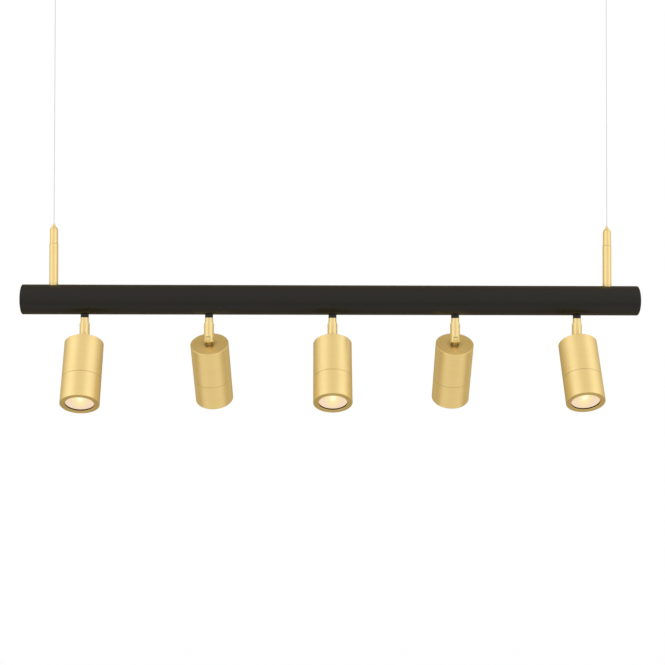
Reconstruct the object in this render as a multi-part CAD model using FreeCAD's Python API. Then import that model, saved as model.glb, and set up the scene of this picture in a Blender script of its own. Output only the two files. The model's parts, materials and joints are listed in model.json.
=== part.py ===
import FreeCAD, Part
import math
import os

# A linear pendant for over an island: a round bar hangs level on two thin wires, and
# five turned spotlights hang under it, each on a swivel and a tilting knuckle.
# Millimetres. Origin: ceiling plane, midway between the two ceiling fixings. +Z is up,
# +X runs along the bar, and -Y faces the viewer.

os.makedirs("parts", exist_ok=True)

# ---------------------------------------------------------------- driving dimensions
bar_drop = 530.0  # ceiling plane down to the axis of the bar
bar_length = 1000.0
bar_radius = 24.15  # a 48.3 mm round tube
bar_wall = 2.0
head_pitch = 200.0
head_count = 5
stem_inset = 50.0  # end of the bar to the axis of each stem and wire

# how each spotlight is aimed in the photograph: turn about the vertical, then tilt
head_turns = [2.3, 175.1, -1.3, 179.5, -1.1]
head_tilts = [31.3, 33.8, 33.1, 34.6, 33.8]

# clearances
thread_clearance = 0.05  # radial, between a thread and its hole or nut
running_clearance = 0.05  # radial, between a turning piece and its bearing
slide_clearance = 0.1  # radial, between a sliding piece and its bore
slot_clearance = 0.15  # on each side of the knuckle's tongue
tongue_room = 0.2  # radial, round the tongue's disc and neck
end_room = 0.3  # at the closed end of a thread or of a pin's hole

# ceiling fixings
base_radius = 11.0
base_height = 6.0
screw_hole_radius = 2.25
screw_hole_length = 3.0
screw_head_radius = 4.6
cup_radius = 12.5
cup_height = 25.0
cup_floor = 3.0
cup_edge = 1.0

# suspension wires
wire_radius = 0.6
wire_hole_radius = 0.9
wire_tail = 30.0  # height of the wire's cut end above the axis of the bar
stop_radius = 2.5
stop_height = 5.0

# stems that stand on the bar, and the wire grippers on top of them
stem_radius = 7.0
stem_top = 90.0  # above the axis of the bar
stem_thread_radius = 5.0
stem_thread_length = 7.0
gripper_radius = 6.5
gripper_length = 28.0
gripper_cone = 5.0  # height of the cone at its top
gripper_top_radius = 3.4
chamber_radius = 3.4
chamber_length = 4.8
grip_taper = 3.7  # height of the taper that wedges the jaws

# release plunger, its three jaws and its spring
plunger_radius = 2.45
plunger_tip_radius = 2.15
plunger_bore = 0.7
plunger_shoulder = 14.0  # above the end of the stem's thread
plunger_show = 4.0  # what stands out above the gripper
jaw_count = 3
jaw_bore = 0.65
jaw_height = 2.6
jaw_low = 5.6  # above the end of the stem's thread
jaw_slit = 0.5
spring_radius = 1.9
spring_wire = 0.4
spring_turns = 3.5

# swivel under the bar
nipple_radius = 4.0
lead_bore = 2.2
nipple_flange_radius = 5.4
nipple_flange_height = 2.0
collar_radius = 6.5
collar_drop = 4.75  # below the underside of the bar
washer_radius = 7.0
washer_height = 1.2  # at its thinnest
nut_across_flats = 13.0
nut_height = 4.0
nipple_spare = 1.5  # thread that shows above the nut

# fork
fork_radius = 8.0
fork_stub = 6.9  # length of the narrow top
fork_taper = 3.3
pivot_drop = 63.3  # axis of the bar down to the tilt pivot
fork_below_pivot = 5.0
fork_edge = 0.5
fork_chamber_radius = 5.6
fork_chamber_length = 13.0
fork_shoulder = 0.5  # metal between the foot of the stub and the chamber

# knuckle
tongue_thickness = 7.0
tongue_radius = 7.4
tongue_neck_radius = 3.5
tongue_thread_radius = 5.0
tongue_thread_spare = 2.0
tongue_lead_bore = 1.5
pivot_screw_radius = 2.0
pivot_screw_reach = 1.8  # into each side of the tongue
pivot_screw_set_in = 1.0  # below the surface of the fork
hex_key = 2.0
hex_depth = 1.5

# spotlight
neck_length = 9.5  # tilt pivot to the top of the spotlight
head_radius = 31.0
head_length = 110.0
rear_length = 66.0
head_wall = 2.5
head_top = 4.0
head_edge = 1.0
spigot_length = 8.0
spigot_wall = 1.2
ring_bore = 22.6
ring_depth = 3.0
ring_edge = 0.5
holder_boss_radius = 9.0
holder_boss_bore = 6.0

# lamp with two pins, and its holder
lamp_radius = 25.0 - slide_clearance
lamp_rim = 3.0
lamp_cone = 30.0
lamp_base_radius = 12.0
lamp_body = 46.0
lamp_pin_spacing = 10.0
lamp_pin_radius = 1.5
lamp_pin_head_radius = 2.4
lamp_pin_head = 2.2
lamp_pin_length = 7.0
lamp_play = 0.1
holder_radius = 13.5
holder_height = 14.0

# end caps, supply inlet and terminal block
cap_thickness = 3.0
cap_round = 1.2
cap_spigot = 12.0
cap_spigot_wall = 2.0
inlet_x = 60.0
grommet_bore = 3.0
grommet_neck = 4.95
grommet_flange = 6.5
grommet_show = 1.4
grommet_inside = 2.5  # what stands into the tube
block_x = 104.0
block_size = (40.0, 16.0, 11.0)
block_ways = 3
block_hole_radius = 1.7
block_hole_rise = 4.4  # floor of the block to the axis of its holes

# ---------------------------------------------------------------- sizes that follow
bar_z = -bar_drop
tube_bore = bar_radius - bar_wall
head_xs = [head_pitch * (n - (head_count - 1) / 2.0) for n in range(head_count)]
wire_offset = bar_length / 2 - stem_inset
sides = {"left": -wire_offset, "right": wire_offset}
pivot_z = bar_z - pivot_drop
thread_top = stem_top + stem_thread_length
gripper_top = stem_top + gripper_length
washer_face = math.sqrt(tube_bore ** 2 - washer_radius ** 2) - washer_height
stud_end = washer_face - nut_height - nipple_spare
fork_top = pivot_drop - bar_radius - collar_drop  # above the pivot
chamber_top = fork_top - fork_stub - fork_shoulder
Z = FreeCAD.Vector(0, 0, 1)
X = FreeCAD.Vector(1, 0, 0)
Y = FreeCAD.Vector(0, 1, 0)


# ---------------------------------------------------------------- helpers
def at(x, y, z):
    return FreeCAD.Vector(x, y, z)


def rod(radius, low, high, x=0.0, y=0.0):
    """An upright cylinder between two heights."""
    return Part.makeCylinder(radius, high - low, at(x, y, low), Z)


def bar_rod(radius, start, end):
    """A cylinder on the axis of the bar."""
    return Part.makeCylinder(radius, end - start, at(start, 0, bar_z), X)


def block(width, depth, low, high, x=0.0, y=0.0):
    """An upright box centred on x and y, between two heights."""
    return Part.makeBox(width, depth, high - low, at(x - width / 2, y - depth / 2, low))


def turned(profile):
    """A solid turned about the vertical from a closed outline of radii and heights."""
    points = [at(radius, 0, z) for radius, z in profile]
    face = Part.Face(Part.makePolygon(points + points[:1]))
    return face.revolve(at(0, 0, 0), Z, 360)


def hexagon(across_flats, low, high):
    """A six-sided prism about the vertical."""
    reach = across_flats / math.sqrt(3)
    angles = [math.radians(60 * n) for n in range(6)]
    points = [at(reach * math.cos(a), reach * math.sin(a), low) for a in angles]
    face = Part.Face(Part.makePolygon(points + points[:1]))
    return face.extrude(at(0, 0, high - low))


def moved(shape, x, y, z):
    copy = shape.copy()
    copy.translate(at(x, y, z))
    return copy


def save(node, solids):
    """Write one node, made of one solid or of several that are alike."""
    solids = solids if isinstance(solids, list) else [solids]
    solids = [s for shape in solids for s in shape.Solids]
    shape = solids[0] if len(solids) == 1 else Part.makeCompound(solids)
    if not shape.isValid():
        raise ValueError(node + " is not a valid solid")
    shape.exportStep("parts/" + node + ".step")


# ---------------------------------------------------------------- ceiling fixings
def ceiling_base(x):
    """A disc screwed to the ceiling, which the cup screws on to."""
    disc = rod(base_radius, -base_height, 0)
    hole = rod(screw_hole_radius, -base_height, 0)
    head_room = rod(screw_head_radius, -base_height, -screw_hole_length)
    return moved(disc.cut(hole).cut(head_room), x, 0, 0)


def ceiling_cup(x):
    """A cup that covers the base and holds the top of the wire in its floor."""
    bore = base_radius + thread_clearance
    floor = -cup_height + cup_floor
    edge = cup_radius - cup_edge
    outline = [
        (bore, 0),
        (cup_radius, 0),
        (cup_radius, -cup_height + cup_edge),
        (edge, -cup_height),
        (wire_hole_radius, -cup_height),
        (wire_hole_radius, floor),
        (bore, floor),
    ]
    return moved(turned(outline), x, 0, 0)


def wire_stop(x):
    """A ferrule crimped on the wire, resting on the floor of the cup."""
    floor = -cup_height + cup_floor
    ferrule = rod(stop_radius, floor, floor + stop_height)
    return moved(ferrule.cut(rod(wire_radius, floor, floor + stop_height)), x, 0, 0)


def wire(x):
    """The straight taut wire, from the top of its stop down into the stem."""
    top = -cup_height + cup_floor + stop_height
    return rod(wire_radius, bar_z + wire_tail, top, x)


for side, x in sides.items():
    save("ceiling_base_" + side, ceiling_base(x))
    save("ceiling_cup_" + side, ceiling_cup(x))
    save("wire_" + side, wire(x))
save("wire_stops", [wire_stop(x) for x in sides.values()])

# ---------------------------------------------------------------- bar
tube_end = bar_length / 2 - cap_thickness
stud_hole = nipple_radius + slide_clearance
tube = bar_rod(bar_radius, -tube_end, tube_end).cut(bar_rod(tube_bore, -tube_end, tube_end))
for x in head_xs:
    tube = tube.cut(rod(stud_hole, bar_z - bar_radius - 1, bar_z, x))
for x in sides.values():
    tube = tube.cut(rod(stud_hole, bar_z, bar_z + bar_radius + 1, x))
inlet_hole = Part.makeCylinder(grommet_neck, bar_radius + 1, at(inlet_x, 0, bar_z), Y)
tube = tube.cut(inlet_hole)
save("bar_tube", tube)


def end_cap(direction):
    """A turned plug with a rounded rim that closes one end of the bar."""
    spigot = tube_bore - slide_clearance
    inner = spigot - cap_spigot_wall
    disc = Part.makeCylinder(bar_radius, cap_thickness, at(tube_end, 0, bar_z), X)
    rim = [e for e in disc.Edges if abs(e.BoundBox.XMin - bar_length / 2) < 0.001]
    disc = disc.makeFillet(cap_round, [e for e in rim if e.BoundBox.XLength < 0.001])
    plug = bar_rod(spigot, tube_end - cap_spigot, tube_end)
    plug = plug.cut(bar_rod(inner, tube_end - cap_spigot, tube_end))
    cap = disc.fuse(plug)
    if direction < 0:
        cap = cap.mirror(at(0, 0, 0), X)
    return cap


save("end_caps", [end_cap(-1), end_cap(1)])


# ---------------------------------------------------------------- swivels and stems
def collar(x):
    """A short collar under the bar, shaped to the tube above it."""
    low = bar_z - bar_radius - collar_drop
    ring = rod(collar_radius, low, bar_z).cut(rod(nipple_radius + thread_clearance, low, bar_z))
    return moved(ring, x, 0, 0).cut(bar_rod(bar_radius, x - 20, x + 20))


def saddle_washer(x, up):
    """A washer inside the tube, round on the outside and flat under its nut."""
    ring = rod(washer_radius, washer_face, tube_bore + 1)
    ring = ring.cut(rod(nipple_radius + thread_clearance, 0, tube_bore + 2))
    if not up:
        ring = ring.mirror(at(0, 0, 0), Z)
    return moved(ring, x, 0, bar_z).common(bar_rod(tube_bore, x - 20, x + 20))


def lock_nut(x, up):
    """A six-sided nut on the flat of its washer."""
    nut = hexagon(nut_across_flats, washer_face - nut_height, washer_face)
    nut = nut.cut(rod(nipple_radius + thread_clearance, washer_face - nut_height, washer_face))
    if not up:
        nut = nut.mirror(at(0, 0, 0), Z)
    return moved(nut, x, 0, bar_z)


stud_places = [(x, False) for x in head_xs] + [(x, True) for x in sides.values()]
save("head_collars", [collar(x) for x in head_xs])
save("saddle_washers", [saddle_washer(x, up) for x, up in stud_places])
save("lock_nuts", [lock_nut(x, up) for x, up in stud_places])


def swivel_nipple(x):
    """A hollow stud with a round foot that the fork turns on."""
    foot_top = pivot_z + chamber_top - running_clearance
    foot_low = foot_top - nipple_flange_height
    stud = rod(nipple_radius, foot_low, bar_z - stud_end)
    stud = stud.fuse(rod(nipple_flange_radius, foot_low, foot_top))
    return moved(stud.cut(rod(lead_bore, foot_low, bar_z)), x, 0, 0)


save("swivel_nipples", [swivel_nipple(x) for x in head_xs])


def stem(x):
    """A post on the bar, shaped to the tube, with a stud below and a thread on top."""
    post = rod(stem_radius, 0, stem_top).cut(
        Part.makeCylinder(bar_radius, 40, at(-20, 0, 0), X)
    )
    post = post.fuse(rod(nipple_radius, stud_end, bar_radius + 1))
    post = post.fuse(rod(stem_thread_radius, stem_top, thread_top))
    return moved(post.cut(rod(wire_hole_radius, 0, thread_top)), x, 0, bar_z)


def gripper(x):
    """The gripper's body: thread, spring chamber, taper for the jaws, and nose."""
    thread = stem_thread_radius + thread_clearance
    nose = plunger_radius + slide_clearance
    tip = plunger_tip_radius + slide_clearance
    shoulder = thread_top + plunger_shoulder + running_clearance
    chamber_end = thread_top + chamber_length
    outline = [
        (thread, stem_top),
        (gripper_radius, stem_top),
        (gripper_radius, gripper_top - gripper_cone),
        (gripper_top_radius, gripper_top),
        (tip, gripper_top),
        (tip, shoulder),
        (nose, shoulder),
        (nose, chamber_end + grip_taper),
        (chamber_radius, chamber_end),
        (chamber_radius, thread_top),
        (thread, thread_top),
    ]
    return moved(turned(outline), x, 0, bar_z)


def taper_radius(height):
    """Radius of the gripper's taper at a height above the end of the stem's thread."""
    nose = plunger_radius + slide_clearance
    share = (height - chamber_length) / grip_taper
    return chamber_radius + (nose - chamber_radius) * share


def jaws(x):
    """A tapered ring slit into three jaws, which wedge between the taper and the wire."""
    top = jaw_low + jaw_height
    outline = [
        (jaw_bore, jaw_low),
        (taper_radius(jaw_low) - running_clearance, jaw_low),
        (taper_radius(top) - running_clearance, top),
        (jaw_bore, top),
    ]
    ring = turned(outline)
    for n in range(jaw_count):
        slit = Part.makeBox(5, jaw_slit, jaw_height, at(0, -jaw_slit / 2, jaw_low))
        slit.rotate(at(0, 0, 0), Z, 360.0 * n / jaw_count)
        ring = ring.cut(slit)
    return moved(ring, x, 0, bar_z + thread_top)


def plunger(x):
    """The hollow plunger that pushes the jaws down to free the wire."""
    low = thread_top + jaw_low + jaw_height + running_clearance
    shoulder = thread_top + plunger_shoulder
    high = gripper_top + plunger_show
    tube = rod(plunger_radius, low, shoulder).fuse(rod(plunger_tip_radius, low, high))
    return moved(tube.cut(rod(plunger_bore, low, high)), x, 0, bar_z)


def spring(x):
    """A short spring of square wire, wound between the stem and the jaws."""
    height = jaw_low - spring_wire - running_clearance
    helix = Part.makeHelix(height / spring_turns, height, spring_radius)
    half = spring_wire / 2
    corners = [(-half, 0), (half, 0), (half, spring_wire), (-half, spring_wire)]
    points = [at(spring_radius + r, 0, z) for r, z in corners]
    section = Part.makePolygon(points + points[:1])
    coil = Part.Wire(helix).makePipeShell([section], True, True)
    return moved(coil, x, 0, bar_z + thread_top)


for side, x in sides.items():
    save("stem_" + side, stem(x))
    save("gripper_" + side, gripper(x))
    save("plunger_" + side, plunger(x))
    save("grip_jaws_" + side, jaws(x))
    save("gripper_spring_" + side, spring(x))


# ---------------------------------------------------------------- supply inlet
def supply_grommet():
    """A rubber bush in the back of the tube, for the supply cable."""
    face = bar_radius + grommet_show
    inside = tube_bore - grommet_inside

    def ring(radius, start, end):
        return Part.makeCylinder(radius, end - start, at(inlet_x, start, bar_z), Y)

    outer = ring(grommet_flange, bar_radius - 2, face)
    outer = outer.cut(bar_rod(bar_radius, inlet_x - 20, inlet_x + 20))
    inner = ring(grommet_flange, inside, tube_bore + 1)
    inner = inner.common(bar_rod(tube_bore, inlet_x - 20, inlet_x + 20))
    bush = ring(grommet_neck, inside, face).fuse(outer).fuse(inner)
    return bush.cut(ring(grommet_bore, inside, face))


def terminal_block():
    """A block of screw terminals lying in the bottom of the tube."""
    length, width, height = block_size
    floor = bar_z - math.sqrt((tube_bore - slide_clearance) ** 2 - (width / 2) ** 2)
    body = block(length, width, floor, floor + height, block_x)
    step = width / block_ways
    for n in range(block_ways):
        y = step * (n - (block_ways - 1) / 2.0)
        axis = floor + block_hole_rise
        start = at(block_x - length / 2, y, axis)
        body = body.cut(Part.makeCylinder(block_hole_radius, length, start, X))
        for well_x in (block_x - length / 4, block_x + length / 4):
            body = body.cut(rod(block_hole_radius, axis, floor + height, well_x, y))
    return body


save("supply_grommet", supply_grommet())
save("terminal_block", terminal_block())


# ---------------------------------------------------------------- spotlights
# Each piece of a spotlight is drawn hanging straight down, with the tilt pivot at the
# origin, and is then turned and tilted into place.
def fork():
    """The turned fork: a narrow stub, a taper, and a barrel slotted for the tongue."""
    barrel_top = fork_top - fork_stub - fork_taper
    bore = nipple_radius + running_clearance
    outline = [
        (bore, fork_top),
        (collar_radius, fork_top),
        (collar_radius, fork_top - fork_stub),
        (fork_radius, barrel_top),
        (fork_radius, -fork_below_pivot + fork_edge),
        (fork_radius - fork_edge, -fork_below_pivot),
        (lead_bore, -fork_below_pivot),
        (lead_bore, chamber_top - fork_chamber_length),
        (fork_chamber_radius, chamber_top - fork_chamber_length),
        (fork_chamber_radius, chamber_top),
        (bore, chamber_top),
    ]
    width = tongue_thickness + 2 * slot_clearance
    round_slot = tongue_radius + tongue_room
    body = turned(outline)
    body = body.cut(Part.makeCylinder(round_slot, width, at(-width / 2, 0, 0), X))
    neck_slot = tongue_neck_radius + tongue_room
    body = body.cut(block(width, 2 * fork_radius + 2, -fork_below_pivot - 1, neck_slot))
    hole = pivot_screw_radius + thread_clearance
    return body.cut(Part.makeCylinder(hole, 2 * fork_radius, at(-fork_radius, 0, 0), X))


def pivot_screws():
    """Two set screws, one in each ear of the fork, whose tips carry the tongue."""
    tip = tongue_thickness / 2 - pivot_screw_reach
    end = fork_radius - pivot_screw_set_in
    key = hexagon(hex_key, end - hex_depth, end)
    screw = rod(pivot_screw_radius, tip, end).cut(key)
    screw.rotate(at(0, 0, 0), Y, 90)
    return [screw, screw.mirror(at(0, 0, 0), X)]


def tongue():
    """The knuckle's tongue: a round disc, a neck, and a hollow thread into the head."""
    half = tongue_thickness / 2
    low = -neck_length - head_top - tongue_thread_spare
    disc = Part.makeCylinder(tongue_radius, tongue_thickness, at(-half, 0, 0), X)
    body = disc.fuse(rod(tongue_neck_radius, -neck_length, 0))
    body = body.fuse(rod(tongue_thread_radius, low, -neck_length))
    body = body.cut(rod(tongue_lead_bore, low, tongue_radius))
    hole = pivot_screw_radius + running_clearance
    depth = pivot_screw_reach + slide_clearance
    for start in (-half, half - depth):
        pocket = Part.makeCylinder(hole, depth, at(start, 0, 0), X)
        body = body.cut(pocket)
    return body


head_z = -neck_length
join_z = head_z - rear_length
front_z = head_z - head_length
lens_z = front_z + ring_depth + lamp_play
holder_z = lens_z + lamp_body + lamp_play


def housing():
    """The rear of the spotlight, with a spigot for the sleeve and a boss inside."""
    inner = head_radius - head_wall
    spigot = inner + spigot_wall
    ceiling = head_z - head_top
    boss_low = holder_z + holder_height
    outline = [
        (tongue_thread_radius + thread_clearance, head_z),
        (head_radius - head_edge, head_z),
        (head_radius, head_z - head_edge),
        (head_radius, join_z),
        (spigot, join_z),
        (spigot, join_z - spigot_length),
        (inner, join_z - spigot_length),
        (inner, ceiling),
        (holder_boss_radius, ceiling),
        (holder_boss_radius, boss_low),
        (holder_boss_bore, boss_low),
        (holder_boss_bore, ceiling),
        (tongue_thread_radius + thread_clearance, ceiling),
    ]
    return turned(outline)


def sleeve():
    """The front of the spotlight, which unscrews and holds the lamp's rim."""
    inner = head_radius - head_wall
    thread = inner + spigot_wall + thread_clearance
    thread_end = join_z - spigot_length - end_room
    lamp_seat = lamp_radius + slide_clearance
    outline = [
        (thread, join_z),
        (head_radius, join_z),
        (head_radius, front_z + ring_edge),
        (head_radius - ring_edge, front_z),
        (ring_bore, front_z),
        (ring_bore, front_z + ring_depth),
        (lamp_seat, front_z + ring_depth),
        (lamp_seat, lens_z + lamp_rim),
        (inner, lens_z + lamp_rim),
        (inner, thread_end),
        (thread, thread_end),
    ]
    return turned(outline)


def lamp():
    """A reflector lamp with a flat front and two pins at the back."""
    top = lens_z + lamp_body
    outline = [
        (0, lens_z),
        (lamp_radius, lens_z),
        (lamp_radius, lens_z + lamp_rim),
        (lamp_base_radius, lens_z + lamp_rim + lamp_cone),
        (lamp_base_radius, top),
        (0, top),
    ]
    body = turned(outline)
    tip = top + lamp_pin_length
    for x in (-lamp_pin_spacing / 2, lamp_pin_spacing / 2):
        body = body.fuse(rod(lamp_pin_radius, top - 1, tip, x))
        body = body.fuse(rod(lamp_pin_head_radius, tip - lamp_pin_head, tip, x))
    return body


def lampholder():
    """The holder that the lamp's pins twist into, under the housing's boss."""
    body = rod(holder_radius, holder_z, holder_z + holder_height)
    depth = lamp_pin_length + end_room
    for x in (-lamp_pin_spacing / 2, lamp_pin_spacing / 2):
        hole = lamp_pin_head_radius + slide_clearance
        body = body.cut(rod(hole, holder_z, holder_z + depth, x))
    return body


straight = {
    "fork": [fork()],
    "pivot_screws": pivot_screws(),
    "tongue": [tongue()],
    "housing": [housing()],
    "sleeve": [sleeve()],
    "lamp": [lamp()],
    "lampholder": [lampholder()],
}
tilting = ("tongue", "housing", "sleeve", "lamp", "lampholder")

for n, x in enumerate(head_xs):
    turn = FreeCAD.Rotation(Z, head_turns[n])
    tilt = FreeCAD.Rotation(X, -head_tilts[n])
    for piece, solids in straight.items():
        spin = turn.multiply(tilt) if piece in tilting else turn
        place = FreeCAD.Placement(at(x, 0, pivot_z), spin)
        placed = []
        for solid in solids:
            copy = solid.copy()
            copy.Placement = place.multiply(copy.Placement)
            placed.append(copy)
        save(piece + "_" + str(n + 1), placed)
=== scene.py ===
import json
import math

import bmesh
import bpy
import numpy as np
from mathutils import Matrix, Vector


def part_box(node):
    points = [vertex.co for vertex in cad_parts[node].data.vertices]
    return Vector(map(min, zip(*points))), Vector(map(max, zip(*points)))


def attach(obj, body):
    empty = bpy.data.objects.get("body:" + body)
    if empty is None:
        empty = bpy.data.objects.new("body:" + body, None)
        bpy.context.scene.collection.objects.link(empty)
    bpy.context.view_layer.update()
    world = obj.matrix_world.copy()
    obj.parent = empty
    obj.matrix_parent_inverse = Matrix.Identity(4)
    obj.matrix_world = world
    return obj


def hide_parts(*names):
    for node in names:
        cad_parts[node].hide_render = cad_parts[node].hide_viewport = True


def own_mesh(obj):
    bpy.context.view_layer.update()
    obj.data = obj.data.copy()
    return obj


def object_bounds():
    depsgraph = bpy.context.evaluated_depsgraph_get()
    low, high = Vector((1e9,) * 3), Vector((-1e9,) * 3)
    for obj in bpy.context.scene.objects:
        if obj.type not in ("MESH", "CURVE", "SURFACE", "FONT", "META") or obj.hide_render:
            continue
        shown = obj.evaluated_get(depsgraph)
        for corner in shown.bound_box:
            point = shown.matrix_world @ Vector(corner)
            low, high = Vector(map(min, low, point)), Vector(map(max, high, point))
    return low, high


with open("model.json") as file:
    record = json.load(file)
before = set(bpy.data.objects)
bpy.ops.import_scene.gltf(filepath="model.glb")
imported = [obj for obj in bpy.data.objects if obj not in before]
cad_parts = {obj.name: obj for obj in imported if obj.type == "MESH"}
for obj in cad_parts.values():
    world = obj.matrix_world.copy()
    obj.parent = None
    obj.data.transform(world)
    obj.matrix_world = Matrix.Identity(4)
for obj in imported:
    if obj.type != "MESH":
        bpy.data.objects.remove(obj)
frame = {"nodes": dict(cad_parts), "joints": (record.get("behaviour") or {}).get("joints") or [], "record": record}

# A linear pendant: a round black bar on two thin wires, with five turned brass
# spotlights under it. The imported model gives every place; this file gives the looks.
# Metres throughout, with millimetre sizes written as 31 * MM.

bl_info = {
    "name": "Linear pendant with turned spotlights",
    "version": (1, 0, 0),
    "blender": (4, 5, 0),
    "location": "3D View > Sidebar > Pendant",
    "description": "Dresses a packed linear pendant with turned surfaces and finishes",
    "category": "Object",
}

MM = 0.001
WARM_ROOM = "FFEFC4"
# these three are linear colours already
WHITE, FLOOR_GREY, UNLIT_LENS = (1, 1, 1, 1), (0.6, 0.6, 0.6, 1), (0.06, 0.055, 0.05, 1)
CAD_BOX = [list(corner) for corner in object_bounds()]
HEADS = range(1, 6)
SIDES = ("left", "right")
JOINTS = {joint["name"]: joint for joint in frame["joints"]}


# ---------------- values
def linear(hex_colour):
    """An sRGB hex colour as linear red, green and blue."""
    values = [int(hex_colour[n:n + 2], 16) / 255 for n in (0, 2, 4)]
    return [v / 12.92 if v <= 0.04045 else ((v + 0.055) / 1.055) ** 2.4 for v in values]


def colour_property(name, description, hex_colour):
    return bpy.props.FloatVectorProperty(
        name=name, description=description, subtype="COLOR", size=3,
        min=0, max=1, default=linear(hex_colour),
    )


def length_property(name, description, millimetres):
    return bpy.props.FloatProperty(
        name=name, description=description, default=millimetres * MM,
        min=0, unit="LENGTH", precision=5,
    )


class PendantSizes(bpy.types.PropertyGroup):
    """Sizes of the turned pieces."""

    bar_rim: length_property("Bar rim", "Rounding of the bar's closed ends", 1.4)
    head_radius: length_property("Spotlight radius", "Outer radius of a spotlight", 31)
    head_length: length_property("Spotlight length", "Top to front ring", 110)
    rear_length: length_property("Rear length", "Top of a spotlight to its join", 66)
    head_wall: length_property("Spotlight wall", "Wall of the turned bodies", 2.5)
    neck_length: length_property("Neck length", "Tilt pivot to the spotlight's top", 9.5)
    ring_bore: length_property("Ring bore", "Inner radius of the front ring", 22.6)
    ring_depth: length_property("Ring depth", "Front ring to the lamp's face", 3.0)
    edge: length_property("Turned edge", "Rounding of the spotlights' edges", 0.7)
    join_groove: length_property("Join groove", "Depth of the fine join line", 0.34)
    lamp_radius: length_property("Lamp radius", "Radius of the reflector lamp", 24.9)
    wire_radius: length_property("Wire radius", "Radius of the suspension wire", 0.6)


class PendantColours(bpy.types.PropertyGroup):
    """Colours of the finishes."""

    brass: colour_property("Brass", "Satin brushed brass", "F9E1A4")
    brass_shade: colour_property("Brass lines", "Darker lines left by the brush", "F3D896")
    # painted shade: the knuckles' brass is a darker, greyer copy of the turned brass, for the bar's shade above
    # them
    shaded_knuckle_brass: colour_property("Knuckle brass", "Brass of the forks, darker as painted shade", "EFDCA4")
    # painted shade: a brown mixed into the brass where other faces stand close
    painted_shade: colour_property("Painted shade", "Brown brass in slots and corners", "5A3F16")
    # painted shade: a darker brass for the inner wall of the front ring's recess
    bore: colour_property("Ring bore", "Brass darkened as painted shade in the ring", "6E5530")
    black: colour_property("Bar", "Satin black powder coat", "1B1814")
    wire: colour_property("Wire", "Bright drawn wire", "D5D6D8")
    zinc: colour_property("Zinc", "Zinc plated steel", "B4B6BA")
    blackened: colour_property("Blackened steel", "Hardened small parts", "4A4A4C")
    ceramic: colour_property("Ceramic", "Matt lampholder ceramic", "E8E5DE")
    lamp_core: colour_property("Lamp core", "Brightest part of the lit lamp", "FFFFDC")
    lamp_glow: colour_property("Lamp glow", "Round the bright middle", "FFE9A2")
    lamp_rim: colour_property("Lamp rim", "Edge of the lit lamp", "F9DCBE")
    rubber: colour_property("Rubber", "Cable bush", "1E1E1F")
    polyamide: colour_property("Polyamide", "Terminal block", "E4E0D4")


# ---------------- surfaces
def rounded(profile, radius, steps=4, closed=True):
    """Rounds each corner of a profile with an arc.

    A corner P between unit directions a (back) and b (on) gets an arc of radius r that
    touches both sides at r / tan(half the angle), and takes less than half of the shorter
    one. The points on it are the circle about the centre on the bisector. A point 0.02 mm
    beyond each end of the arc keeps the shading of the flat beside it flat. The rows of
    the profile are (r, z) or (r, z, own radius).
    """
    rows = [(p[0], p[1], p[2] if len(p) > 2 else radius) for p in profile]
    count = len(rows)
    out = []
    for n, (x, z, r) in enumerate(rows):
        here = np.array([x, z])
        if not closed and n in (0, count - 1):
            out.append(here)
            continue
        back = np.array(rows[n - 1][:2]) - here
        on = np.array(rows[(n + 1) % count][:2]) - here
        lengths = np.linalg.norm(back), np.linalg.norm(on)
        back, on = back / lengths[0], on / lengths[1]
        half = math.acos(float(np.clip(back @ on, -1, 1))) / 2
        if r <= 0 or half > math.pi / 2 - 0.01:
            out.append(here)
            continue
        reach = min(r / math.tan(half), 0.45 * min(lengths))
        r = reach * math.tan(half)
        centre = here + (back + on) / np.linalg.norm(back + on) * (r / math.sin(half))
        start, end = here + back * reach - centre, here + on * reach - centre
        turn = math.pi - 2 * half
        side = np.sign(start[0] * end[1] - start[1] * end[0])
        extra = min(0.02 * MM, 0.05 * min(lengths))
        out.append(here + back * (reach + extra))
        for t in np.linspace(0, turn, steps + 1):
            c, s = math.cos(t), math.sin(t) * side
            arm = (c * start[0] - s * start[1], s * start[0] + c * start[1])
            out.append(centre + np.array(arm))
        out.append(here + on * (reach + extra))
    return np.array(out)


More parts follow.
